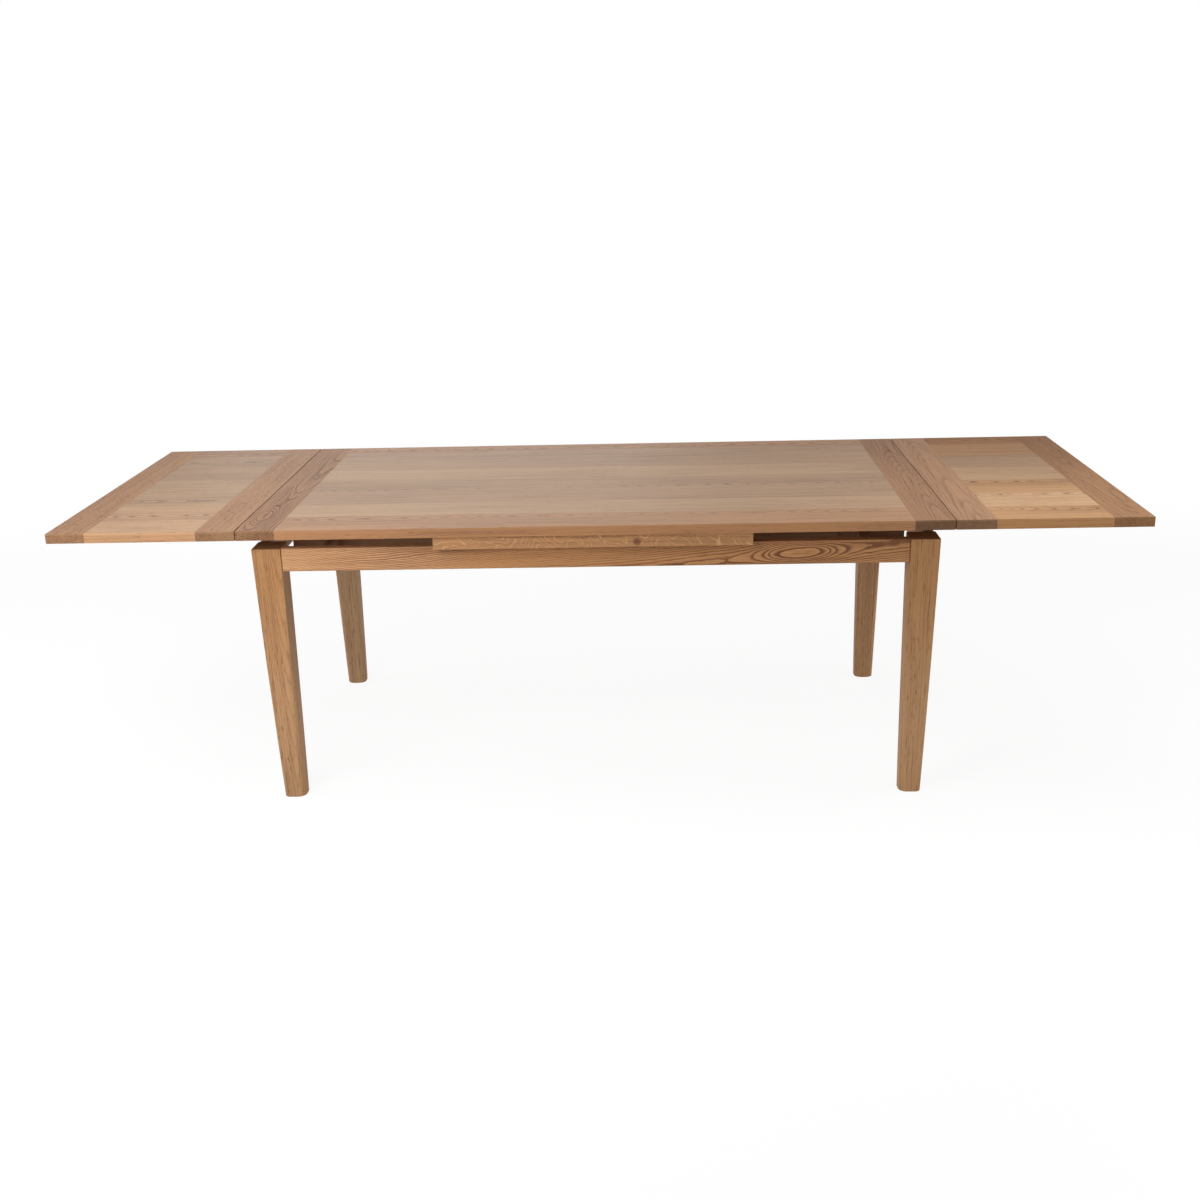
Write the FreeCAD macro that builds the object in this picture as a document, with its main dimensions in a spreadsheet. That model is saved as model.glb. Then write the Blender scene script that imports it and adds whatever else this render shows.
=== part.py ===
"""Draw leaf table: an oak dining table whose two end leaves slide out on sloping bearers.

Millimetres, +Z up, +X along the table, origin on the floor under the middle of the table.
The leaves are drawn out and lie flush with the main top, as when the table is laid for many.
"""
import FreeCAD, Part
import math
import os
import Sketcher

# Driving dimensions, one cell each.
SIZES = {
    # Main top and leaves
    "table_height": 760,
    "top_length": 1800,
    "top_width": 1000,
    "board_thickness": 25,
    "leaf_length": 483,
    "leaf_gap": 2.5,
    "end_board_width": 99,
    "tongue_length": 12,
    "tongue_thickness": 8,
    "tongue_inset": 20,
    "groove_clearance": 0.5,
    # Legs
    "end_overhang": 27,
    "side_overhang": 34,
    "leg_width": 74,
    "end_taper": 17,
    "side_taper": 14,
    "knee_drop": 60,
    "foot_radius": 22,
    "foot_outer_radius": 15,
    "foot_ease": 0.1,
    # Aprons and rails
    "apron_height": 61,
    "apron_thickness": 26,
    "apron_setback": 4,
    "apron_arris": 3,
    "cross_rail_thickness": 18,
    "tenon_thickness": 10,
    "tenon_length": 35,
    "tenon_shoulder": 8,
    "stub_length": 12,
    "mortise_clearance": 1,
    # Fixed centre board
    "centre_thickness": 33,
    "centre_setback": 7,
    "stow_gap": 15,
    # Bearers under the leaves
    "stow_clearance": 1,
    "hold_clearance": 0.5,
    "bearer_height": 27,
    "bearer_thickness": 28,
    "bearer_hold": 100,
    "bearer_end_inset": 100,
    "bearer_inset": 90,
    "bearer_pitch": 34,
    "notch_floor_clearance": 0.3,
    "notch_side_clearance": 0.5,
    # Guides along the bearers, within the frame
    "guide_height": 53,
    "guide_tip_height": 29,
    "guide_thickness": 12,
    "guide_end_gap": 3,
    # Stop pegs in the bearers
    "draw_overrun": 40,
    "stop_clearance": 0.4,
    "stop_radius": 5,
    "stop_depth": 14,
    "stop_reach": 10,
    "stop_wall": 2,
    # Locating pegs under the main top
    "peg_radius": 8,
    "peg_socket": 12,
    "peg_below": 12,
    "peg_clearance": 0.3,
    # Fits
    "glue_clearance": 0.1,
    "overrun": 10,
}

# Widths of the glued boards from the front edge to the back, as shares of the top's width.
MAIN_BOARD_SHARES = (0.132, 0.131, 0.152, 0.110, 0.147, 0.128, 0.120, 0.080)
LEAF_BOARD_SHARES = (0.125, 0.150, 0.145, 0.160, 0.160, 0.155, 0.105)
# Places of the pegs and the cross rails, as shares of the lengths that they follow.
PEG_COLUMN_SHARE = 0.14
PEG_ROW_SHARE = 0.15
CROSS_RAIL_SHARE = 0.644

# Places worked out from the driving dimensions, for the half of the table at positive X and Y.
LAYOUT = {
    "underside": "=Sizes.table_height - Sizes.board_thickness",
    "frame_top": "=underside - Sizes.centre_thickness",
    "apron_bottom": "=frame_top - Sizes.apron_height",
    "half_length": "=Sizes.top_length / 2",
    "half_width": "=Sizes.top_width / 2",
    "panel_end": "=half_length - Sizes.end_board_width",
    "leaf_start": "=half_length + Sizes.leaf_gap",
    "leaf_end": "=leaf_start + Sizes.leaf_length",
    "tongue_low": "=underside + (Sizes.board_thickness - Sizes.tongue_thickness) / 2",
    "tongue_high": "=tongue_low + Sizes.tongue_thickness",
    "leg_outer_x": "=half_length - Sizes.end_overhang",
    "leg_outer_y": "=half_width - Sizes.side_overhang",
    "leg_inner_x": "=leg_outer_x - Sizes.leg_width",
    "leg_inner_y": "=leg_outer_y - Sizes.leg_width",
    "knee_height": "=apron_bottom - Sizes.knee_drop",
    "foot_outer_x": "=leg_outer_x - Sizes.end_taper",
    "foot_outer_y": "=leg_outer_y - Sizes.side_taper",
    "form_spread": "=Sizes.foot_ease + Sizes.foot_radius * (1 - sqrt(1 / 2)) * frame_top / knee_height",
    "apron_outer": "=leg_outer_y - Sizes.apron_setback",
    "apron_inner": "=apron_outer - Sizes.apron_thickness",
    "rail_outer": "=leg_outer_x - Sizes.apron_setback",
    "rail_inner": "=rail_outer - Sizes.apron_thickness",
    "apron_tenon_mid": "=(apron_outer + apron_inner) / 2",
    "rail_tenon_mid": "=(rail_outer + rail_inner) / 2",
    "tenon_bottom": "=apron_bottom + Sizes.tenon_shoulder",
    "tenon_top": "=frame_top - Sizes.tenon_shoulder",
    "centre_half": "=half_length - Sizes.leaf_length - Sizes.stow_gap",
    "cross_mid": "=centre_half + %r * (rail_inner - centre_half)" % CROSS_RAIL_SHARE,
    "cross_inner": "=cross_mid - Sizes.cross_rail_thickness / 2",
    "cross_outer": "=cross_mid + Sizes.cross_rail_thickness / 2",
    "slope": "=(Sizes.board_thickness + Sizes.stow_clearance) / (Sizes.leaf_length + Sizes.leaf_gap)",
    "bearer_start": "=centre_half - Sizes.bearer_hold",
    "bearer_end": "=leaf_end - Sizes.bearer_end_inset",
    "bearer_top_at_zero": "=frame_top - Sizes.hold_clearance - slope * centre_half",
    "bearer_bottom_at_zero": "=bearer_top_at_zero - Sizes.bearer_height",
    "guide_bottom_at_zero": "=bearer_top_at_zero - Sizes.guide_height",
    "right_bearer_y": "=apron_inner - Sizes.bearer_inset",
    "left_bearer_y": "=right_bearer_y - Sizes.bearer_pitch",
    "stop_x": "=cross_inner - Sizes.stop_radius - Sizes.draw_overrun - Sizes.stop_clearance",
    "stop_z": "=bearer_bottom_at_zero + slope * stop_x + Sizes.stop_radius + Sizes.stop_wall",
    "guide_taper": "=stop_x - Sizes.guide_height / 2",
    "guide_end": "=rail_inner - Sizes.draw_overrun - Sizes.guide_end_gap",
    "peg_x": "=Sizes.top_length * %r" % PEG_COLUMN_SHARE,
    "peg_y": "=Sizes.top_width * %r" % PEG_ROW_SHARE,
}

ACROSS = FreeCAD.Vector(1, 0, 0)
ALONG_Y = FreeCAD.Vector(0, 1, 0)

doc = FreeCAD.newDocument("DrawLeafTable")
nodes = {}


def make_sheet(name, cells):
    """A sheet with one named cell on each row."""
    sheet = doc.addObject("Spreadsheet::Sheet", name)
    for row, (alias, value) in enumerate(cells.items(), start=1):
        sheet.set("A%d" % row, alias)
        sheet.setAlias("B%d" % row, alias)
        sheet.set("B%d" % row, str(value))
    return sheet


sizes = make_sheet("Sizes", SIZES)
make_sheet("Layout", LAYOUT)
doc.recompute()


def number(expression):
    """The present value of an expression, for what can't be tied to one."""
    return float(sizes.evalExpression(expression))


def box(name, x, y, z):
    """A box between two planes on each axis; x, y and z are (low, high) pairs of expressions."""
    item = doc.addObject("Part::Box", name)
    for size, axis, (low, high) in zip(("Length", "Width", "Height"), "xyz", (x, y, z)):
        item.setExpression(size, "(%s) - (%s)" % (high, low))
        item.setExpression("Placement.Base." + axis, low)
    return item


def upright(name, radius, x, y, z):
    """A vertical cylinder at (x, y) between the two heights of z."""
    item = doc.addObject("Part::Cylinder", name)
    item.setExpression("Radius", radius)
    item.setExpression("Height", "(%s) - (%s)" % (z[1], z[0]))
    for axis, place in zip("xyz", (x, y, z[0])):
        item.setExpression("Placement.Base." + axis, place)
    return item


def wedge(name, foot, top):
    """A tapered post from the floor to the frame's top, at the front right corner.

    foot and top are (inner x, outer x, inner y, outer y) there, with y counted to the front.
    """
    item = doc.addObject("Part::Wedge", name)
    item.setExpression("Ymax", "Layout.frame_top")
    for size, place in zip(("Xmin", "Xmax", "Zmin", "Zmax"), foot):
        item.setExpression(size, place)
    for size, place in zip(("X2min", "X2max", "Z2min", "Z2max"), top):
        item.setExpression(size, place)
    item.Placement.Rotation = FreeCAD.Rotation(FreeCAD.Vector(0, 0, 1), -ALONG_Y)
    return item


def rounded(name, item, radius_at):
    """Round each edge of a piece for which radius_at gives the name of a size."""
    doc.recompute()
    fillet = doc.addObject("Part::Fillet", name)
    fillet.Base = item
    edges = []
    for index, edge in enumerate(item.Shape.Edges, start=1):
        size = radius_at(edge)
        if size:
            edges.append((index, number(size), number(size)))
    fillet.Edges = edges
    return fillet


def eased(name, item, normal):
    """Round the lower edge and the end edges of a rail's outer face, which looks along normal."""
    doc.recompute()
    face = max(item.Shape.Faces, key=lambda face: face.CenterOfMass.dot(normal))
    upper = max(face.Edges, key=lambda edge: edge.CenterOfMass.z)
    shown = [edge for edge in face.Edges if not edge.isSame(upper)]

    def radius_at(edge):
        return "Sizes.apron_arris" if any(edge.isSame(other) for other in shown) else None
    return rounded(name, item, radius_at)


def union(name, pieces):
    """Several pieces made one."""
    item = doc.addObject("Part::MultiFuse", name)
    item.Shapes = pieces
    item.Refine = True
    return item


def cut(name, base, tools):
    """A piece less all that the tools take from it."""
    item = doc.addObject("Part::Cut", name)
    item.Base = base
    item.Tool = tools[0] if len(tools) == 1 else union(name + "_tools", tools)
    return item


def group(name, pieces):
    """Several separate solids of one kind."""
    item = doc.addObject("Part::Compound", name)
    item.Links = pieces
    return item


def mirrored(name, source, normal):
    """A piece's mirror image in the plane through the origin across normal."""
    item = doc.addObject("Part::Mirroring", name)
    item.Source = source
    item.Normal = normal
    return item


def keep(label, item):
    """Name a finished piece."""
    item.Label = label
    nodes[label] = item
    return item


def keep_on_side(side, label, item):
    """Name a piece that was made at positive X, mirrored when it belongs to the left end."""
    if side == "left":
        item = mirrored(label + "_mirror", item, ACROSS)
    return keep(label, item)


def bound(sketch, constraint, name, expression):
    """Add a named dimension to a sketch and tie it to an expression."""
    sketch.renameConstraint(sketch.addConstraint(constraint), name)
    sketch.setExpression("Constraints." + name, expression)


def side_sketch(body, name):
    """An empty sketch on a body's upright XZ plane."""
    plane = [item for item in body.Origin.OriginFeatures if item.Role == "XZ_Plane"][0]
    sketch = body.newObject("Sketcher::SketchObject", name)
    sketch.AttachmentSupport = (plane, [""])
    sketch.MapMode = "FlatFace"
    return sketch


def outline(sketch, points):
    """A closed run of straight lines whose corners are pairs of expressions."""
    places = [FreeCAD.Vector(number(x), number(y), 0) for x, y in points]
    for index, start in enumerate(places):
        sketch.addGeometry(Part.LineSegment(start, places[(index + 1) % len(places)]), False)
    for index, (x, y) in enumerate(points):
        following = (index + 1) % len(points)
        sketch.addConstraint(Sketcher.Constraint("Coincident", index, 2, following, 1))
        across = Sketcher.Constraint("DistanceX", -1, 1, index, 1, places[index].x)
        bound(sketch, across, "x%d" % index, x)
        upward = Sketcher.Constraint("DistanceY", -1, 1, index, 1, places[index].y)
        bound(sketch, upward, "y%d" % index, y)


def legs():
    """Square above, tapered on the two outer faces, and rounded over more and more to the foot."""
    foot = ("Layout.leg_inner_x", "Layout.foot_outer_x", "Layout.leg_inner_y", "Layout.foot_outer_y")
    top = ("Layout.leg_inner_x", "Layout.leg_outer_x", "Layout.leg_inner_y", "Layout.leg_outer_y")
    signs = (" - ", " + ", " - ", " + ")
    form = wedge("LegForm", [place + sign + "Sizes.foot_ease" for place, sign in zip(foot, signs)],
                 [place + sign + "Layout.form_spread" for place, sign in zip(top, signs)])
    doc.recompute()
    corners = [edge for edge in form.Shape.Edges if edge.BoundBox.ZLength > number("Layout.knee_height")]
    outer = max(corners, key=lambda edge: edge.CenterOfMass.x - edge.CenterOfMass.y)

    def radius_at(edge):
        if not any(edge.isSame(corner) for corner in corners):
            return None
        return "Sizes.foot_outer_radius" if edge.isSame(outer) else "Sizes.foot_radius"
    shaped = doc.addObject("Part::Common", "LegShaped")
    shaped.Base = wedge("LegPost", foot, top)
    shaped.Tool = rounded("LegFormRounded", form, radius_at)

    half = "Sizes.tenon_thickness / 2"
    depth = "Sizes.tenon_length + Sizes.mortise_clearance"
    height = ("Layout.tenon_bottom", "Layout.tenon_top")
    mortises = [
        box("ApronMortise", ("Layout.leg_inner_x", "Layout.leg_inner_x + " + depth),
            ("-Layout.apron_tenon_mid - " + half, "-Layout.apron_tenon_mid + " + half), height),
        box("RailMortise", ("Layout.rail_tenon_mid - " + half, "Layout.rail_tenon_mid + " + half),
            ("-Layout.leg_inner_y - (" + depth + ")", "-Layout.leg_inner_y"), height),
    ]
    front_right = keep("front_right_leg", cut("FrontRightLeg", shaped, mortises))
    front_left = keep("front_left_leg", mirrored("FrontLeftLeg", front_right, ACROSS))
    keep("back_right_leg", mirrored("BackRightLeg", front_right, ALONG_Y))
    keep("back_left_leg", mirrored("BackLeftLeg", front_left, ALONG_Y))


def aprons():
    """Long rails, tenoned into the legs and mortised for the cross rails."""
    half = "Sizes.tenon_thickness / 2"
    height = ("Layout.tenon_bottom", "Layout.tenon_top")
    rail = box("ApronRail", ("-Layout.leg_inner_x", "Layout.leg_inner_x"),
               ("Layout.apron_inner", "Layout.apron_outer"), ("Layout.apron_bottom", "Layout.frame_top"))
    reach = "(Layout.leg_inner_x + Sizes.tenon_length)"
    tenon = box("ApronTenon", ("-" + reach, reach),
                ("Layout.apron_tenon_mid - " + half, "Layout.apron_tenon_mid + " + half), height)
    floor = "Layout.apron_inner + Sizes.stub_length + Sizes.mortise_clearance"
    mortises = []
    for side, sign in (("Left", "-"), ("Right", "")):
        mid = sign + "Layout.cross_mid"
        mortises.append(box("StubMortise" + side, (mid + " - " + half, mid + " + " + half),
                            ("Layout.apron_inner", floor), height))
    blank = union("ApronBlank", [eased("ApronEased", rail, ALONG_Y), tenon])
    back = keep("back_apron", cut("BackApron", blank, mortises))
    keep("front_apron", mirrored("FrontApron", back, ALONG_Y))


def notches(name, start, end, middle, width, bottom):
    """A front and a back sloping cut through a rail, from the plane start to the plane end.

    middle is how far what runs in a cut lies from the table's middle, width how wide it is, and
    bottom the height that its lower edge would have at the table's middle.
    """
    half = "%s / 2 + Sizes.notch_side_clearance" % width
    low_x = start + " - Sizes.overrun"
    cuts = []
    for row, sign in (("Front", "-"), ("Back", "")):
        item = doc.addObject("Part::Box", name + row)
        item.setExpression("Length", "%s - (%s) + Sizes.overrun" % (end, low_x))
        item.setExpression("Width", "2 * (%s)" % half)
        item.setExpression("Height", "Sizes.apron_height + Sizes.guide_height")
        item.setExpression("Placement.Base.x", low_x)
        item.setExpression("Placement.Base.y", "%s(%s) - (%s)" % (sign, middle, half))
        floor = "%s + Layout.slope * (%s) - Sizes.notch_floor_clearance" % (bottom, low_x)
        item.setExpression("Placement.Base.z", floor)
        angle = math.degrees(math.atan(number("Layout.slope")))
        item.Placement.Rotation = FreeCAD.Rotation(-ALONG_Y, angle)
        item.setExpression("Placement.Rotation.Angle", "atan(Layout.slope)")
        cuts.append(item)
    return cuts


def end_rail(side):
    """Short rail between two legs, notched for the bearers of its leaf."""
    height = ("Layout.apron_bottom", "Layout.frame_top")
    half = "Sizes.tenon_thickness / 2"
    rail = box(side + "EndRailBar", ("Layout.rail_inner", "Layout.rail_outer"),
               ("-Layout.leg_inner_y", "Layout.leg_inner_y"), height)
    reach = "(Layout.leg_inner_y + Sizes.tenon_length)"
    thickness = ("Layout.rail_tenon_mid - " + half, "Layout.rail_tenon_mid + " + half)
    tenon = box(side + "EndRailTenon", thickness, ("-" + reach, reach),
                ("Layout.tenon_bottom", "Layout.tenon_top"))
    cuts = notches(side + "EndNotch", "Layout.rail_inner", "Layout.rail_outer",
                   "Layout.%s_bearer_y" % side, "Sizes.bearer_thickness", "Layout.bearer_bottom_at_zero")
    blank = union(side + "EndRailBlank", [eased(side + "EndRailEased", rail, ACROSS), tenon])
    keep_on_side(side, side + "_end_rail", cut(side + "EndRail", blank, cuts))


def cross_rail(side):
    """Inner rail between the aprons, notched to carry the bearers and slotted for their guides."""
    half = "Sizes.tenon_thickness / 2"
    bar = box(side + "CrossRailBar", ("Layout.cross_inner", "Layout.cross_outer"),
              ("-Layout.apron_inner", "Layout.apron_inner"), ("Layout.apron_bottom", "Layout.frame_top"))
    reach = "(Layout.apron_inner + Sizes.stub_length)"
    stub = box(side + "CrossRailStub", ("Layout.cross_mid - " + half, "Layout.cross_mid + " + half),
               ("-" + reach, reach), ("Layout.tenon_bottom", "Layout.tenon_top"))
    bearer_y = "Layout.%s_bearer_y" % side
    guide_y = bearer_y + " + (Sizes.bearer_thickness - Sizes.guide_thickness) / 2"
    cuts = notches(side + "CrossNotch", "Layout.cross_inner", "Layout.cross_outer",
                   bearer_y, "Sizes.bearer_thickness", "Layout.bearer_bottom_at_zero")
    cuts += notches(side + "CrossSlot", "Layout.cross_inner", "Layout.cross_outer",
                    guide_y, "Sizes.guide_thickness", "Layout.guide_bottom_at_zero")
    blank = union(side + "CrossRailBlank", [bar, stub])
    keep_on_side(side, side + "_cross_rail", cut(side + "CrossRail", blank, cuts))


def peg_places():
    """Sign pairs and names of the four locating pegs."""
    for row, y_sign in (("Front", "-"), ("Back", "")):
        for column, x_sign in (("Left", "-"), ("Right", "")):
            yield row + column, x_sign + "Layout.peg_x", y_sign + "Layout.peg_y"


def centre_board():
    """Fixed board between the stowed leaves, bored for the pegs of the loose top."""
    reach_y = "(Layout.half_width - Sizes.centre_setback)"
    board = box("CentreBoardBlank", ("-Layout.centre_half", "Layout.centre_half"),
                ("-" + reach_y, reach_y), ("Layout.frame_top", "Layout.underside"))
    bore = "Sizes.peg_radius + Sizes.peg_clearance"
    through = ("Layout.frame_top - Sizes.overrun", "Layout.underside + Sizes.overrun")
    tools = [upright("PegBore" + name, bore, x, y, through) for name, x, y in peg_places()]
    keep("centre_board", cut("CentreBoard", board, tools))


def bounds_of(shares):
    """Start and end share of each board across the top, from the front edge."""
    start = 0
    for share in shares:
        yield start, start + share
        start += share


def across(share):
    """Place across the table at a share of its width from the front edge."""
    return "(%r - 0.5) * Sizes.top_width" % round(share, 6)


def panel_board(name, x, index, shares, holes):
    """One long board of a top, with a tongue at each end that enters the end boards."""
    start, end = list(bounds_of(shares))[index]
    front, back = across(start), across(end)
    board = box(name + "Board", x, (front, back), ("Layout.underside", "Sizes.table_height"))
    tongue_front = front + " + Sizes.tongue_inset" if index == 0 else front
    tongue_back = back + " - Sizes.tongue_inset" if index == len(shares) - 1 else back
    tongue = box(name + "Tongue", (x[0] + " - Sizes.tongue_length", x[1] + " + Sizes.tongue_length"),
                 (tongue_front, tongue_back), ("Layout.tongue_low", "Layout.tongue_high"))
    blank = union(name + "Blank", [board, tongue])
    tools = [tool for share, tool in holes if start < share < end]
    return cut(name, blank, tools) if tools else blank


def end_board(name, x, groove_side):
    """A board across the end of a top, grooved for the tongues of the long boards."""
    blank = box(name + "Blank", x, ("-Layout.half_width", "Layout.half_width"),
                ("Layout.underside", "Sizes.table_height"))
    depth = "Sizes.tongue_length + Sizes.groove_clearance"
    if groove_side == "inner":
        groove_x = (x[0], x[0] + " + " + depth)
    else:
        groove_x = (x[1] + " - (" + depth + ")", x[1])
    reach = "(Layout.half_width - Sizes.tongue_inset)"
    groove = box(name + "Groove", groove_x, ("-" + reach, reach),
                 ("Layout.tongue_low", "Layout.tongue_high"))
    return cut(name, blank, [groove])


def main_top():
    """Loose main top: long boards between two end boards, with pegs that drop into the centre board."""
    socket = "Sizes.peg_radius + Sizes.glue_clearance"
    peg_top = "Layout.underside + Sizes.peg_socket"
    holes = []
    pegs = []
    for name, x, y in peg_places():
        share = 0.5 - PEG_ROW_SHARE if name.startswith("Front") else 0.5 + PEG_ROW_SHARE
        holes.append((share, upright("PegSocket" + name, socket, x, y, ("Layout.underside", peg_top))))
        pegs.append(upright("Peg" + name, "Sizes.peg_radius", x, y,
                            ("Layout.frame_top - Sizes.peg_below", peg_top)))
    for index in range(len(MAIN_BOARD_SHARES)):
        board = panel_board("MainBoard%d" % (index + 1), ("-Layout.panel_end", "Layout.panel_end"), index,
                            MAIN_BOARD_SHARES, holes)
        keep("main_top_board_%d" % (index + 1), board)
    for side in ("left", "right"):
        board = end_board(side + "MainEndBoard", ("Layout.panel_end", "Layout.half_length"), "inner")
        keep_on_side(side, "main_top_%s_end_board" % side, board)
    keep("top_locating_pegs", group("TopLocatingPegs", pegs))


def bar(name, points, thickness, back):
    """A bar with an upright profile, whose back face lies at the place back across the table."""
    body = doc.addObject("PartDesign::Body", name + "Body")
    sketch = side_sketch(body, name + "Profile")
    outline(sketch, points)
    doc.recompute()
    pad = body.newObject("PartDesign::Pad", name + "Pad")
    pad.Profile = sketch
    pad.setExpression("Length", thickness)
    body.setExpression("Placement.Base.y", back)
    return body


def bearer(name, side, sign, peg_hole):
    """Bearer: a sloping bar under its leaf, with a deeper guide on its outer side within the frame."""
    top = "Layout.bearer_top_at_zero + Layout.slope * "
    bottom = "Layout.bearer_bottom_at_zero + Layout.slope * "
    guide_bottom = "Layout.guide_bottom_at_zero + Layout.slope * "
    middle = "%sLayout.%s_bearer_y" % (sign, side)
    back = middle + " + Sizes.bearer_thickness / 2"
    guide_back = back if sign == "" else middle + " - Sizes.bearer_thickness / 2 + Sizes.guide_thickness"
    runner = bar(name + "Runner", [
        ("Layout.bearer_start", bottom + "Layout.bearer_start"),
        ("Layout.bearer_end", bottom + "Layout.bearer_end"),
        ("Layout.bearer_end", "Layout.underside"),
        ("Layout.leaf_start", "Layout.underside"),
        ("Layout.leaf_start", top + "Layout.leaf_start"),
        ("Layout.bearer_start", top + "Layout.bearer_start"),
    ], "Sizes.bearer_thickness", back)
    guide = bar(name + "Guide", [
        ("Layout.bearer_start", top + "Layout.bearer_start - Sizes.guide_tip_height"),
        ("Layout.guide_taper", guide_bottom + "Layout.guide_taper"),
        ("Layout.guide_end", guide_bottom + "Layout.guide_end"),
        ("Layout.guide_end", top + "Layout.guide_end - Sizes.bearer_height / 2"),
        ("Layout.bearer_start", top + "Layout.bearer_start - Sizes.bearer_height / 2"),
    ], "Sizes.guide_thickness", guide_back)
    return cut(name, union(name + "Blank", [runner, guide]), [peg_hole])


def stop_peg(name, side, sign):
    """A dowel that stands out of a bearer's side, and the hole that it is driven into."""
    centre = "%sLayout.%s_bearer_y" % (sign, side)
    outward = side == "right"
    towards_back = outward == (sign == "")
    if towards_back:
        face = centre + " + Sizes.bearer_thickness / 2"
        span = (face + " - Sizes.stop_depth", face + " + Sizes.stop_reach")
        hole_span = (span[0], face + " + Sizes.overrun")
    else:
        face = centre + " - Sizes.bearer_thickness / 2"
        span = (face + " - Sizes.stop_reach", face + " + Sizes.stop_depth")
        hole_span = (face + " - Sizes.overrun", span[1])
    made = []
    for suffix, radius, (low, high) in (("", "Sizes.stop_radius", span),
                                        ("Hole", "Sizes.stop_radius + Sizes.glue_clearance", hole_span)):
        item = doc.addObject("Part::Cylinder", name + suffix)
        item.setExpression("Radius", radius)
        item.setExpression("Height", "%s - (%s)" % (high, low))
        item.Placement.Rotation = FreeCAD.Rotation(FreeCAD.Vector(0, 0, 1), ALONG_Y)
        for axis, place in zip("xyz", ("Layout.stop_x", low, "Layout.stop_z")):
            item.setExpression("Placement.Base." + axis, place)
        made.append(item)
    return made


def leaf(side):
    """One draw leaf with its two bearers and their stop pegs."""
    pegs = []
    for row, sign in (("front", "-"), ("back", "")):
        name = side.capitalize() + row.capitalize()
        peg, peg_hole = stop_peg(name + "StopPeg", side, sign)
        pegs.append(peg)
        piece = bearer(name + "Bearer", side, sign, peg_hole)
        keep_on_side(side, "%s_leaf_%s_bearer" % (side, row), piece)
    inner_end = "Layout.leaf_start + Sizes.end_board_width"
    outer_end = "Layout.leaf_end - Sizes.end_board_width"
    for index in range(len(LEAF_BOARD_SHARES)):
        board = panel_board("%sLeafBoard%d" % (side, index + 1), (inner_end, outer_end), index,
                            LEAF_BOARD_SHARES, [])
        keep_on_side(side, "%s_leaf_board_%d" % (side, index + 1), board)
    inner = end_board(side + "LeafInnerEnd", ("Layout.leaf_start", inner_end), "outer")
    keep_on_side(side, side + "_leaf_inner_end_board", inner)
    outer = end_board(side + "LeafOuterEnd", (outer_end, "Layout.leaf_end"), "inner")
    keep_on_side(side, side + "_leaf_outer_end_board", outer)
    keep_on_side(side, side + "_leaf_stop_pegs", group(side + "LeafStopPegs", pegs))


def check():
    """Stop if any object failed to build or any piece is empty or unsound."""
    for item in doc.Objects:
        if "Invalid" in item.State or "Error" in item.State:
            raise RuntimeError("%s failed to build: %s" % (item.Name, item.State))
    for label, item in nodes.items():
        if item.Shape.isNull() or not item.Shape.isValid():
            raise RuntimeError("%s has no sound shape" % label)


def write():
    """Save each named piece as a file of its own."""
    os.makedirs("parts", exist_ok=True)
    for label, item in nodes.items():
        item.Shape.exportStep("parts/%s.step" % label)
        print(label, len(item.Shape.Solids), "solid(s)", round(item.Shape.Volume), "mm3")


legs()
aprons()
centre_board()
main_top()
for end in ("left", "right"):
    end_rail(end)
    cross_rail(end)
    leaf(end)
doc.recompute()
check()
write()
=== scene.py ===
"""Draw leaf table in oiled oak, with both leaves drawn out.

Metres, in the part's own frame: +X along the table to the right, +Y from the front to the back, +Z up.
Each board is cut from its own log: growth rings round a heart line, pores, fibres and end grain are
worked out through the whole solid, so that every face of a board shows the same wood.
"""
import math

import bmesh
import bpy
from mathutils import Matrix, Vector


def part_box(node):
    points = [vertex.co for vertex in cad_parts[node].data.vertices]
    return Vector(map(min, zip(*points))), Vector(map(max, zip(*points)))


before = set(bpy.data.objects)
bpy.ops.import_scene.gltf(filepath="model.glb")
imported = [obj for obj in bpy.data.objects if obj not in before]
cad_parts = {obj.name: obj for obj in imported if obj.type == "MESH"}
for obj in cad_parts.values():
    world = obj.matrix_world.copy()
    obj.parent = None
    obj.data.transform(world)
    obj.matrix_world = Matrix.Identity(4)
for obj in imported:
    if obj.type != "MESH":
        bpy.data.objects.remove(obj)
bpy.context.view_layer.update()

# Camera: where it stood, how it was turned (radians) and how long its lens was.
CAMERA_PLACE = (0.153, -3.876, 1.664)
CAMERA_TURN = 0.0406
CAMERA_TILT = 0.3144
CAMERA_ROLL = -0.0264
FOCAL_PIXELS = 1402.2
PICTURE_PIXELS = 1200
SENSOR_WIDTH = 36

# Tones of the oiled oak, red, green and blue from 0 to 1 as they look on screen.
CREAM = (0.82, 0.66, 0.50)
STRAW = (0.77, 0.61, 0.46)
PALE = (0.71, 0.57, 0.43)
BISCUIT = (0.67, 0.53, 0.40)
ROSE = (0.69, 0.51, 0.35)
HONEY = (0.75, 0.57, 0.39)
TAN = (0.68, 0.50, 0.33)
SIENNA = (0.62, 0.42, 0.23)
RUSSET = (0.69, 0.52, 0.38)
UMBER = (0.65, 0.48, 0.34)
OCHRE = (0.79, 0.61, 0.44)
COPPER = (0.78, 0.57, 0.40)
AMBER = (0.83, 0.63, 0.45)
FAWN = (0.71, 0.52, 0.35)
SHADE = (0.55, 0.40, 0.28)
KNOT = (0.40, 0.23, 0.15)

# Roughness and refraction of the finish.
OILED = (0.55, 1.49)
MATT = (0.60, 1.38)

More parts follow.
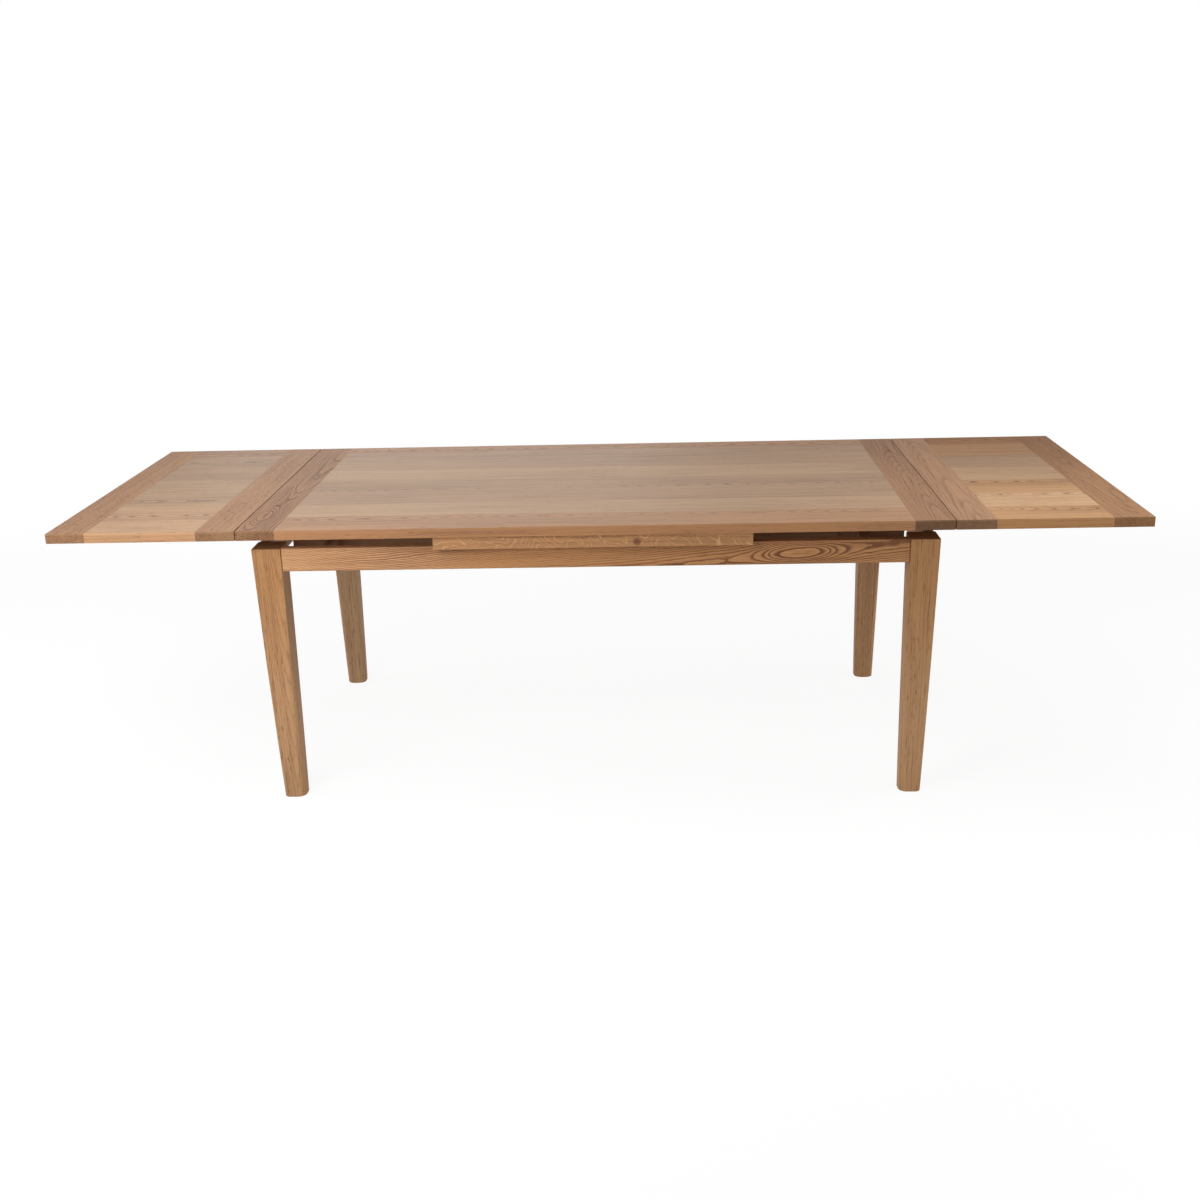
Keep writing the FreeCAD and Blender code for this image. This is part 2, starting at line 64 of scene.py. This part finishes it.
# How the growth rings show: ring is a ring's width, rise how far the heart line climbs for each metre
# along, which draws arches, wander how far it strays, ripple how many rings the grain waves by, lines
# how dark the early wood is, and even how much of it is left where the rings stand upright. dashes is
# how open the pores are, and patches how cloudy the tone is.
PLAIN = {"ring": 0.0035, "rise": 0.0, "wander": 0.004, "ripple": 0.3, "lines": 0.4, "even": 0.3,
         "patches": 0.7}
FLECKED = {"ring": 0.0022, "rise": 0.035, "wander": 0.012, "ripple": 0.6, "lines": 1.1, "even": 0.1,
           "patches": 0.7}
PORED = {"ring": 0.0040, "rise": 0.01, "wander": 0.006, "ripple": 0.3, "lines": 0.5, "even": 0.6,
         "dashes": 0.5}
WAVY = {"ring": 0.0045, "rise": 0.03, "wander": 0.016, "ripple": 0.3, "lines": 0.9, "even": 0.8}
BOLD = {"ring": 0.0042, "rise": 0.0, "wander": 0.008, "ripple": 0.4, "lines": 1.5, "even": 0.8}
VEINED = {"ring": 0.0040, "rise": 0.02, "wander": 0.008, "ripple": 0.3, "lines": 0.35, "even": 0.8,
          "dashes": 0.35}

# Textures: how often each repeats in a metre along the grain and across it, and its detail.
DRIFT = (2.2, 3.0, 1.0)
WAVE = (48.0, 22.0, 1.0)
FIBRE = (5.0, 260.0, 2.0)
DASH = (36.0, 330.0, 1.0)
PORE = (30.0, 900.0, 1.0)
STREAK = (2.5, 70.0, 2.0)
PATCH = (1.6, 7.0, 1.0)
# Between which values of their texture the dashes and the pores begin and are whole.
DASH_EDGE = (0.58, 0.70)
PORE_EDGE = (0.58, 0.72)
# How far along the textures one piece lies from the next.
SEED_STEP = 7.31

# Growth rings: shares of wander that move the heart line and the rings, how often the rings' width
# changes and by how many rings, where the early wood is darkest in its ring, how fast it then fades,
# and how much stronger it is in an eye and in a dark patch.
HEART_DRIFT = 1.5
RING_DRIFT = 2
UNEVEN_RATE = 0.35
UNEVEN_RINGS = 1.2
EARLY_START = 0.10
EARLY_FADE = 3
EYE_STRENGTH = 0.25
PATCH_STRENGTH = 1.5

# How much the textures darken the wood, the sums that are palest and darkest, and the darkest tone's
# share.
DARKENING = {"pore": 0.15, "fibre": 0.9, "streak": 0.7}
DARK_RANGE = (-0.25, 1.05)
DARKEST = 0.60
# How far each texture stands up, as a share of the relief, and how much it roughens the finish.
RELIEF = {"pore": -0.4, "dash": -0.4, "early": -0.25, "fibre": 0.3}
RELIEF_STRENGTH = 0.3
RELIEF_HEIGHT = 0.0004
ROUGHENING = {"pore": 0.15, "dash": 0.1, "fibre": 0.12, "cut": 0.15}

# Ray flecks: how often their swirls repeat in a metre of the face and through it, how much they slant,
# how many bands a swirl has and how wide those are, how the bands break up, and their tone's share.
RAY_SWIRL = 14.0
RAY_THROUGH = 20.0
RAY_SLANT = 9.0
RAY_BANDS = 12.0
RAY_BAND_EDGE = (0.12, 0.02)
RAY_BREAK_ALONG = 60.0
RAY_BREAK_ACROSS = 45.0
RAY_BREAK_EDGE = (0.30, 0.50)
RAY_LIGHT = 1.14
# Knots: their soft rim, how ragged it is and how much of the wood they hide.
KNOT_RIM = (1.0, 0.1)
KNOT_RAGGED = 1.2
KNOT_COVER = 0.8

# How squarely a surface has to look along an axis to count as that side of a piece.
SIDE_ON = (0.6, 0.9)
FACE_ON = (0.8, 0.95)
# Joints between boards: where they begin and are darkest, in from the rim, their strength and their tone's
# share. The upper arris: the same for a painted highlight along it, below the top face; the strength
# serves both.
SEAM = (0.0012, 0.0003)
SEAM_AND_HIGHLIGHT_STRENGTH = 0.3
SEAM_DARK = 0.6
ARRIS = (0.006, 0.001)
ARRIS_LIGHT = 1.1
# What the long edges of a board keep of their tone on screen, and what a darkened far end keeps of its
# light; on the legs and the front apron that darkening is painted shade.
BOARD_EDGE = (0.99, 0.95, 0.90)
FAR_TINT = (0.78, 0.68, 0.52, 1)

# From tones on screen to light; and how fast green and blue fade with red when wood darkens.
SCREEN_LIFT = 0.055
SCREEN_POWER = 2.4
GREEN_FADE = 1.3
BLUE_FADE = 1.5

# Boards from the front to the back: tone, heart line to the side of the board's middle, its depth, figure.
MAIN_BOARDS = (
    (ROSE, 0.039, 0.060, FLECKED),
    (PALE, 0.140, 0.050, PLAIN),
    (BISCUIT, -0.150, 0.050, PLAIN),
    (BISCUIT, -0.050, 0.060, FLECKED),
    (PALE, -0.110, 0.050, PLAIN),
    (BISCUIT, -0.140, 0.060, PLAIN),
    (BISCUIT, -0.035, 0.050, PLAIN),
    (ROSE, -0.010, 0.060, FLECKED),
)
LEFT_LEAF_BOARDS = (
    (STRAW, 0.045, 0.050, PLAIN),
    (STRAW, -0.030, 0.060, FLECKED),
    (PALE, -0.018, 0.060, FLECKED),
    (PALE, 0.150, 0.050, PLAIN),
    (BISCUIT, -0.150, 0.050, PLAIN),
    (BISCUIT, 0.000, 0.060, FLECKED),
    (UMBER, -0.020, 0.060, FLECKED),
)
# The right leaf's back boards are darker partly in the wood and partly as painted shade, as its front is
# lit more.
RIGHT_LEAF_BOARDS = (
    (HONEY, 0.035, 0.060, FLECKED),
    (CREAM, 0.050, 0.060, FLECKED),
    (HONEY, 0.055, 0.060, FLECKED),
    (PALE, 0.140, 0.050, PLAIN),
    (BISCUIT, -0.150, 0.055, PLAIN),
    (TAN, 0.050, 0.060, PLAIN),
    (SIENNA, 0.010, 0.060, FLECKED),
)
BOARD_ROWS = (
    ("main_top", MAIN_BOARDS, OILED),
    ("left_leaf", LEFT_LEAF_BOARDS, OILED),
    ("right_leaf", RIGHT_LEAF_BOARDS, MATT),
)

# Floor: its width, the tones that light the table from below, the grit's repeats in a metre, and the
# shadow that is seen: its light where nothing shades it, its reach, how wide it is drawn and its depth.
FLOOR_SIZE = 40
FLOOR_TONES = ((0.50, 0.50, 0.49, 1), (0.56, 0.56, 0.55, 1))
FLOOR_GRIT = 90
SHADOW_LIGHT = (1.4, 1.4, 1.4, 1)
SHADOW_REACH = (1.6, 3.2)
SHADOW_WIDTH = 0.35
SHADOW_DEPTH = 0.10

# Soft lamps: name, place, the point they look at, width and watts.
SOFT_BOXES = (
    ("key_softbox", (-1.15, -1.75, 1.6), (-0.4, 0.0, 0.6), 1.3, 28),
    ("low_softbox", (-1.6, -2.6, 0.5), (-0.8, 0.0, 0.4), 1.0, 7),
    ("top_softbox", (-1.0, 0.0, 3.0), (-0.4, 0.0, 0.7), 2.6, 24.5),
    ("side_softbox", (1.25, -0.50, 1.6), (1.2, -0.45, 0.7), 0.6, 5),
    ("fill_softbox", (1.9, -2.4, 0.4), (0.8, -0.4, 0.3), 1.0, 12),
    ("back_softbox", (-0.9, 3.2, 1.3), (-0.1, 0.0, 0.5), 2.4, 22),
    ("left_softbox", (-3.6, 0.2, 1.1), (-1.0, 0.0, 0.5), 2.0, 24),
    ("right_softbox", (3.6, 0.2, 1.1), (1.0, 0.0, 0.5), 2.0, 32),
)
ROOM_TINT = (1.0, 0.99, 0.97, 1)
ROOM_LIGHT = 0.09
WHITE = (1, 1, 1, 1)


class Number:
    """A number on a surface; arithmetic on it adds Math nodes to its recipe."""

    def __init__(self, recipe, socket):
        self.recipe = recipe
        self.socket = socket

    def __add__(self, other):
        return self.recipe.math("ADD", self, other)

    def __radd__(self, other):
        return self.recipe.math("ADD", other, self)

    def __sub__(self, other):
        return self.recipe.math("SUBTRACT", self, other)

    def __rsub__(self, other):
        return self.recipe.math("SUBTRACT", other, self)

    def __mul__(self, other):
        return self.recipe.math("MULTIPLY", self, other)

    def __rmul__(self, other):
        return self.recipe.math("MULTIPLY", other, self)

    def __truediv__(self, other):
        return self.recipe.math("DIVIDE", self, other)

    def __rtruediv__(self, other):
        return self.recipe.math("DIVIDE", other, self)

    def __pow__(self, other):
        return self.recipe.math("POWER", self, other)


class Recipe:
    """The nodes of one material, or of the world."""

    def __init__(self, owner):
        owner.use_nodes = True
        self.tree = owner.node_tree
        self.tree.nodes.clear()

    def add(self, kind, settings, sockets):
        """Add a node: its settings first, then a value or a link for each socket."""
        node = self.tree.nodes.new("ShaderNode" + kind)
        for name, value in settings.items():
            setattr(node, name, value)
        for name, value in sockets.items():
            if isinstance(value, Number):
                value = value.socket
            if isinstance(value, bpy.types.NodeSocket):
                self.tree.links.new(value, node.inputs[name])
            else:
                node.inputs[name].default_value = value
        return node

    def math(self, operation, *terms):
        """One Math node on numbers or plain values."""
        node = self.add("Math", {"operation": operation}, dict(enumerate(terms)))
        return Number(self, node.outputs[0])

    def size(self, value):
        """A number without its sign."""
        return self.math("ABSOLUTE", value)

    def parts(self, vector):
        """The three numbers of a vector."""
        node = self.add("SeparateXYZ", {}, {"Vector": vector})
        return [Number(self, output) for output in node.outputs]

    def noise(self, x, y, z, detail=0.0):
        """Smooth noise between 0 and 1 that is about one unit wide."""
        place = self.add("CombineXYZ", {}, {"X": x, "Y": y, "Z": z}).outputs[0]
        sockets = {"Vector": place, "Scale": 1.0, "Detail": detail}
        return Number(self, self.add("TexNoise", {}, sockets).outputs["Fac"])

    def ease(self, value, low, high):
        """0 at low, 1 at high and a soft step between."""
        sockets = {"Value": value, "From Min": low, "From Max": high}
        node = self.add("MapRange", {"interpolation_type": "SMOOTHSTEP"}, sockets)
        return Number(self, node.outputs[0])

    def blend(self, first, second, factor, way="MIX"):
        """Two colours mixed by a factor."""
        settings = {"data_type": "RGBA", "blend_type": way}
        return self.add("Mix", settings, {0: factor, 6: first, 7: second}).outputs[2]

    def mix(self, factor, first, second):
        """Two shaders mixed by a factor."""
        return self.add("MixShader", {}, {0: factor, 1: first.outputs[0], 2: second.outputs[0]})


class Log(Recipe):
    """The recipe of one piece of oak, measured from its middle in the directions of its grain.

    axes names the axis along the grain, the one across the face that shows, and the one through it.
    """

    def __init__(self, material, axes, corners, seed):
        super().__init__(material)
        low, high = corners
        source = self.add("TexCoord", {}, {})
        middle = {"Vector": source.outputs["Object"], "Location": (low + high) / -2}
        steps = dict(zip("XYZ", self.parts(self.add("Mapping", {}, middle).outputs[0])))
        normal = dict(zip("XYZ", self.parts(source.outputs["Normal"])))
        half = dict(zip("XYZ", (high - low) / 2))
        self.along, self.across, self.through = [steps[axis] for axis in axes]
        self.facing = [self.size(normal[axis]) for axis in axes]
        self.half = [half[axis] for axis in axes]
        self.start = SEED_STEP * seed
        self.turn = 1 if seed % 2 else -1
        self.wave = self.swing(*WAVE)

    def texture(self, length, width, detail):
        """Noise between 0 and 1 that follows the grain."""
        place = (self.along * length + self.start, self.across * width, self.through * width)
        return self.noise(*place, detail)

    def swing(self, length, width, detail):
        """The same noise about 0."""
        return self.texture(length, width, detail) - 0.5

    def oval(self, along, across, length, width):
        """Square of the distance from a place on the face: 1 on the rim of an oval round it."""
        return ((self.along - along) / length) ** 2 + ((self.across - across) / width) ** 2

    def rim(self, step, half):
        """1 in the narrow strip where a board ends."""
        return self.ease(self.size(step), *[half - inset for inset in SEAM])

    def early_wood(self, heart, depth, ring, rise, wander, ripple, lines, even, lean, eyes):
        """Open early wood of the growth rings, from 0 to 1, and how strongly it shows."""
        drift = self.swing(*DRIFT)
        sideways = self.across - heart - self.along * lean + drift * (HEART_DRIFT * wander)
        below = self.through + depth + self.along * (rise * self.turn)
        square = sideways * sideways + below * below
        rings = (self.math("SQRT", square) + drift * (RING_DRIFT * wander)) / ring + self.wave * ripple
        strength = lines
        for along, across, length, width, count in eyes:
            far = self.oval(along, across, length, width)
            bulge = count / (1 + far * far)
            rings = rings + bulge
            strength = strength + self.size(bulge) * (EYE_STRENGTH * lines)
        uneven = self.noise(rings * UNEVEN_RATE, self.start, 0.5) * UNEVEN_RINGS
        phase = self.math("FRACT", rings + uneven)
        flat = below * below / square
        shown = even + (1 - even) * flat * flat
        return self.ease(phase, 0.0, EARLY_START) * (1 - phase) ** EARLY_FADE * shown, strength

    def ray_flecks(self):
        """Pale swirling flecks of a face that is cut along the rays, from 0 to 1."""
        swirl = self.noise(self.along * RAY_SWIRL + self.across * RAY_SLANT + self.start,
                           self.across * RAY_SWIRL, self.through * RAY_THROUGH, 1.0)
        band = self.size(self.math("FRACT", swirl * RAY_BANDS) - 0.5)
        broken = self.noise(self.along * RAY_BREAK_ALONG + self.start,
                            self.across * RAY_BREAK_ACROSS, self.through * RAY_THROUGH)
        return self.ease(band, *RAY_BAND_EDGE) * self.ease(broken, *RAY_BREAK_EDGE)


def linear(tone):
    """A tone on screen as the light that it sends back."""
    channels = [((c + SCREEN_LIFT) / (1 + SCREEN_LIFT)) ** SCREEN_POWER for c in tone]
    return (*channels, 1.0)


def toned(tone, share):
    """A tone with its light cut to a share, or raised, and the blue changed most, as wood darkens."""
    red, green, blue = tone
    return (red * share, green * share ** GREEN_FADE, blue * share ** BLUE_FADE)


def weighted(total, textures, weights):
    """A number with each texture added by its weight."""
    for kind, weight in weights.items():
        total = textures[kind] * weight + total
    return total


def oak(name, axes, corners, seed, tone, heart, depth, ring, rise, wander, ripple, lines, even,
        dashes=0.2, patches=0.5, lean=0.0, eyes=(), knots=(), rays=0.0, end=0.9, edge=(1.0, 1.0, 1.0),
        seam=0.0, aged=0.0, ageing=(-0.15, 0.3), gloss=MATT):
    """Oiled oak cut from one log.

    From the piece's middle, the log's heart line lies heart away on the axis across and depth back on
    the axis through, and moves lean across for each metre along. eyes are (along, across, length,
    width, rings): places where the rings bulge and show as ovals. knots are (along, across, radius).
    rays is how strong the ray flecks are. The end grain is toned by end and the long edges by edge.
    seam darkens a board's joints and lightens a strip below its upper arris as a painted
    highlight. aged darkens the far end, over the stretch along the piece that ageing gives;
    on the legs and the front apron it is painted shade.
    """
    material = bpy.data.materials.new(name)
    log = Log(material, axes, corners, seed)
    early, strength = log.early_wood(heart, depth, ring, rise, wander, ripple, lines, even, lean, eyes)
    patch = log.swing(*PATCH)
    cut = log.ease(log.facing[0], *SIDE_ON)
    textures = {
        "early": early,
        "cut": cut,
        "fibre": log.swing(*FIBRE),
        "dash": log.ease(log.texture(*DASH), *DASH_EDGE),
        "pore": log.ease(log.texture(*PORE), *PORE_EDGE),
        "streak": log.swing(*STREAK),
    }

    dark = early * strength * (1 + PATCH_STRENGTH * patch) + textures["dash"] * dashes + patch * patches
    dark = weighted(dark, textures, DARKENING)
    colour = log.blend(linear(tone), linear(toned(tone, DARKEST)), log.ease(dark, *DARK_RANGE))
    if rays:
        colour = log.blend(colour, linear(toned(tone, RAY_LIGHT)), log.ray_flecks() * rays)
    for along, across, radius in knots:
        far = log.oval(along, across, radius, radius) + log.wave * KNOT_RAGGED
        colour = log.blend(colour, linear(KNOT), log.ease(far, *KNOT_RIM) * KNOT_COVER)
    colour = log.blend(colour, linear((end, end, end)), cut, "MULTIPLY")
    colour = log.blend(colour, linear(edge), log.ease(log.facing[1], *SIDE_ON), "MULTIPLY")
    if seam:
        show = log.ease(log.facing[2], *FACE_ON)
        joint = log.math("MAXIMUM", log.rim(log.across, log.half[1]), log.rim(log.along, log.half[0]))
        colour = log.blend(colour, linear(toned(tone, SEAM_DARK)), joint * show * seam)
        # The strip just below the top face on each side is lightened: a painted highlight on the arris.
        arris = log.ease(log.through, *[log.half[2] - inset for inset in ARRIS])
        colour = log.blend(colour, linear(toned(tone, ARRIS_LIGHT)), arris * (1 - show) * seam)
    # Darkening towards the far end: on the front legs and the front apron this is painted shade.
    if aged:
        colour = log.blend(colour, FAR_TINT, log.ease(log.along, *ageing) * aged, "MULTIPLY")

    roughness, refraction = gloss
    bump = log.add("Bump", {}, {"Strength": RELIEF_STRENGTH, "Distance": RELIEF_HEIGHT,
                                "Height": weighted(1, textures, RELIEF)})
    skin = log.add("BsdfPrincipled", {}, {
        "Base Color": colour, "Roughness": weighted(roughness, textures, ROUGHENING),
        "Normal": bump.outputs[0], "IOR": refraction})
    log.add("OutputMaterial", {}, {"Surface": skin.outputs[0]})
    return material


def dress(node, axes, tone, heart, depth, figure, **more):
    """Give a piece of the table its own oak; heart and depth count from the piece's middle."""
    seed = sorted(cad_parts).index(node) + 1
    wood = oak("oak_" + node, axes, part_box(node), seed, tone, heart, depth, **{**figure, **more})
    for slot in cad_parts[node].material_slots:
        slot.material = wood


def dress_end(node, tone, heart, depth, figure, **more):
    """Give an end board its oak, with the grain across the table."""
    dress(node, "YXZ", tone, heart, depth, figure, seam=SEAM_AND_HIGHLIGHT_STRENGTH, **more)


def tops():
    """Long boards with the grain along the table, and end boards with the grain across it."""
    for row, boards, gloss in BOARD_ROWS:
        for number, (tone, heart, depth, figure) in enumerate(boards, start=1):
            dress("%s_board_%d" % (row, number), "XYZ", tone, heart, depth, figure, seam=SEAM_AND_HIGHLIGHT_STRENGTH,
                  gloss=gloss, edge=BOARD_EDGE)
    dress_end("left_leaf_outer_end_board", RUSSET, 0.080, 0.05, PORED, end=0.93)
    dress_end("left_leaf_inner_end_board", RUSSET, -0.090, 0.05, PORED, end=0.88)
    dress_end("main_top_left_end_board", UMBER, 0.015, 0.06, WAVY, end=0.92, ring=0.0055, lean=0.07,
              eyes=((-0.352, -0.010, 0.075, 0.028, -4.0), (-0.114, -0.045, 0.09, 0.035, 3.5)))
    dress_end("main_top_right_end_board", toned(UMBER, 0.97), 0.020, 0.06, WAVY, end=0.78, ring=0.0035,
              lines=0.6, eyes=((0.000, 0.033, 0.05, 0.014, -1.5), (-0.124, 0.040, 0.05, 0.015, -1.5)))
    dress_end("right_leaf_inner_end_board", RUSSET, 0.005, 0.06, WAVY, end=0.80, lines=0.5)
    dress_end("right_leaf_outer_end_board", toned(TAN, 0.95), 0.005, 0.06, WAVY, end=0.95, lines=0.5,
              aged=1.0, eyes=((-0.316, 0.045, 0.15, 0.03, -2.5),))


def under_frame():
    """Legs, rails, bearers, pegs and the fixed centre board."""
    for side in ("left", "right"):
        # The front legs darken towards their tops: painted shade under the table top, lighter towards the
        # floor.
        dress("front_%s_leg" % side, "ZXY", OCHRE, 0.030, 0.07, VEINED, aged=0.9)
        # The back left leg gets the paler tone as painted light, for the light that falls on it from the
        # left.
        dress("back_%s_leg" % side, "ZXY", CREAM if side == "left" else OCHRE, 0.030, 0.06, VEINED)
        dress(side + "_end_rail", "YZX", COPPER, 0.09, 0.05, BOLD, lines=1.0)
        dress(side + "_cross_rail", "YZX", SHADE, 0.05, 0.04, PLAIN)
        for row in ("front", "back"):
            dress("%s_leaf_%s_bearer" % (side, row), "XZY", SHADE, 0.06, 0.04, PLAIN)
        dress(side + "_leaf_stop_pegs", "YXZ", SHADE, 0.0, 0.01, PLAIN)
    # The front apron darkens from left of its middle to its right end: painted shade of the centre board
    # above it.
    dress("front_apron", "XZY", AMBER, -0.052, 0.05, BOLD, lean=0.1, aged=0.8, ageing=(-0.5, -0.25),
          eyes=((0.520, 0.0, 0.095, 0.032, -5.0), (-0.500, -0.010, 0.12, 0.02, 1.5)))
    dress("back_apron", "XZY", COPPER, 0.010, 0.05, BOLD, lean=-0.1, eyes=((-0.2, 0.0, 0.08, 0.02, -4.0),))
    dress("centre_board", "XZY", FAWN, 0.05, 0.30, PLAIN, rays=0.85, knots=((0.113, -0.003, 0.013),))
    dress("top_locating_pegs", "ZXY", SHADE, 0.0, 0.01, PLAIN)


def white_when_seen(recipe):
    """1 for rays from the camera, from gloss and through glass, 0 for light on the object."""
    path = recipe.add("LightPath", {}, {})
    seen = recipe.math("MAXIMUM", path.outputs["Is Camera Ray"], path.outputs["Is Glossy Ray"])
    return recipe.math("MAXIMUM", seen, path.outputs["Is Transmission Ray"])


def floor():
    """Pale floor that keeps a soft shadow near the table and runs out to plain white."""
    plate = bmesh.new()
    bmesh.ops.create_grid(plate, x_segments=1, y_segments=1, size=FLOOR_SIZE / 2)
    mesh = bpy.data.meshes.new("floor")
    plate.to_mesh(mesh)
    plate.free()
    piece = bpy.data.objects.new("floor", mesh)
    bpy.context.scene.collection.objects.link(piece)
    material = bpy.data.materials.new("pale_floor")
    recipe = Recipe(material)
    x, y, _ = recipe.parts(recipe.add("TexCoord", {}, {}).outputs["Object"])
    grit = recipe.noise(x * FLOOR_GRIT, y * FLOOR_GRIT, 0.0, 2.0)
    matt = recipe.add("BsdfDiffuse", {}, {"Color": recipe.blend(*FLOOR_TONES, grit)})
    shaded = recipe.add("BsdfDiffuse", {}, {"Color": SHADOW_LIGHT})
    glow = recipe.add("Emission", {}, {"Color": WHITE, "Strength": 1.0})
    far = recipe.ease(recipe.math("SQRT", x * x * SHADOW_WIDTH + y * y), *SHADOW_REACH)
    paper = recipe.mix(1 - SHADOW_DEPTH * (1 - far), shaded, glow)
    both = recipe.mix(white_when_seen(recipe), matt, paper)
    recipe.add("OutputMaterial", {}, {"Surface": both.outputs[0]})
    mesh.materials.append(material)


def soft_box(name, place, target, size, watts):
    """A large soft lamp that looks at a point."""
    lamp = bpy.data.lights.new(name, "AREA")
    lamp.shape = "SQUARE"
    lamp.size = size
    lamp.energy = watts
    piece = bpy.data.objects.new(name, lamp)
    bpy.context.scene.collection.objects.link(piece)
    aim = (Vector(place) - Vector(target)).to_track_quat("Z", "Y")
    piece.matrix_world = Matrix.Translation(place) @ aim.to_matrix().to_4x4()


def light():
    """Soft studio light: most of it from the front left, the rest from above and all round."""
    for lamp in SOFT_BOXES:
        soft_box(*lamp)
    world = bpy.data.worlds.new("studio")
    bpy.context.scene.world = world
    recipe = Recipe(world)
    room = recipe.add("Background", {}, {"Color": ROOM_TINT, "Strength": ROOM_LIGHT})
    paper = recipe.add("Background", {}, {"Color": WHITE, "Strength": 1.0})
    both = recipe.mix(white_when_seen(recipe), room, paper)
    recipe.add("OutputWorld", {}, {"Surface": both.outputs[0]})


def camera():
    """The camera where the photograph was taken from."""
    lens = bpy.data.cameras.new("camera")
    lens.sensor_width = SENSOR_WIDTH
    lens.lens = FOCAL_PIXELS / PICTURE_PIXELS * SENSOR_WIDTH
    piece = bpy.data.objects.new("camera", lens)
    bpy.context.scene.collection.objects.link(piece)
    turn = Matrix.Rotation(CAMERA_TURN, 4, "Z")
    tilt = Matrix.Rotation(math.pi / 2 - CAMERA_TILT, 4, "X")
    roll = Matrix.Rotation(CAMERA_ROLL, 4, "Z")
    piece.matrix_world = Matrix.Translation(CAMERA_PLACE) @ turn @ tilt @ roll
    bpy.context.scene.camera = piece


camera()
tops()
under_frame()
floor()
light()
bpy.context.scene.view_settings.view_transform = "Standard"
